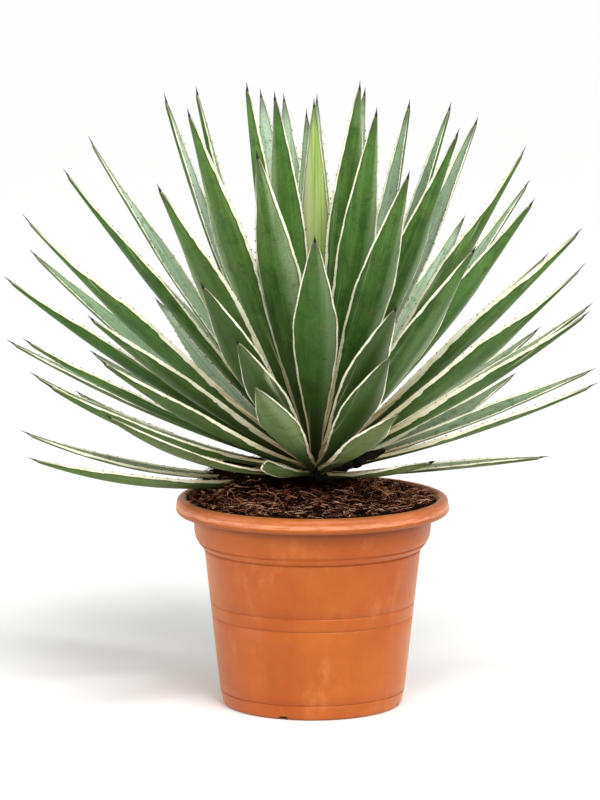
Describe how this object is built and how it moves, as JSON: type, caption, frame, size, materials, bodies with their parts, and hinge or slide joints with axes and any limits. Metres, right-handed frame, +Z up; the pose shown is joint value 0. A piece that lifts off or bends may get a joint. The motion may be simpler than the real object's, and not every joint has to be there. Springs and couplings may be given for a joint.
{
  "type": "potted agave",
  "caption": "Rosette of stiff, spine-tipped, cream-edged leaves on a short stem, standing in coir soil in a round terracotta-coloured pot with a turned-down rim.",
  "frame": {"origin": "centre of the pot's flat underside, on the surface it stands on", "axes": "+Z up along the pot's axis; -Y towards the viewer of the picture, +X to the right"},
  "size_m": [0.6488, 0.6958, 0.693],
  "materials": {
    "pot": "satin, faintly mottled",
    "soil": "rough coir fibre",
    "stem": "rough, scaly old leaf bases",
    "leaf": "waxy green with cream margins"
  },
  "bodies": {
    "root": {"pot": "pot", "soil": "soil", "stem": "stem", "heart": "leaf", "upper_leaf_01": "leaf", "upper_leaf_02": "leaf", "upper_leaf_03": "leaf", "upper_leaf_04": "leaf", "upper_leaf_05": "leaf", "upper_leaf_06": "leaf", "upper_leaf_07": "leaf", "upper_leaf_08": "leaf", "upper_leaf_09": "leaf", "upper_leaf_10": "leaf", "upper_leaf_11": "leaf", "upper_leaf_12": "leaf", "middle_leaf_01": "leaf", "middle_leaf_02": "leaf", "middle_leaf_03": "leaf", "middle_leaf_04": "leaf", "middle_leaf_05": "leaf", "middle_leaf_06": "leaf", "middle_leaf_07": "leaf", "middle_leaf_08": "leaf", "middle_leaf_09": "leaf", "middle_leaf_10": "leaf", "middle_leaf_11": "leaf", "middle_leaf_12": "leaf", "middle_leaf_13": "leaf", "middle_leaf_14": "leaf", "middle_leaf_15": "leaf", "middle_leaf_16": "leaf", "middle_leaf_17": "leaf", "middle_leaf_18": "leaf", "middle_leaf_19": "leaf", "middle_leaf_20": "leaf", "middle_leaf_21": "leaf", "middle_leaf_22": "leaf", "middle_leaf_23": "leaf", "middle_leaf_24": "leaf", "middle_leaf_25": "leaf", "middle_leaf_26": "leaf", "lower_leaf_01": "leaf", "lower_leaf_02": "leaf", "lower_leaf_03": "leaf", "lower_leaf_04": "leaf", "lower_leaf_05": "leaf", "lower_leaf_06": "leaf", "lower_leaf_07": "leaf", "lower_leaf_08": "leaf", "lower_leaf_09": "leaf", "lower_leaf_10": "leaf", "lower_leaf_11": "leaf", "lower_leaf_12": "leaf", "lower_leaf_13": "leaf", "lower_leaf_14": "leaf", "lower_leaf_15": "leaf", "lower_leaf_16": "leaf", "lower_leaf_17": "leaf", "lower_leaf_18": "leaf"}
  },
  "joints": []
}
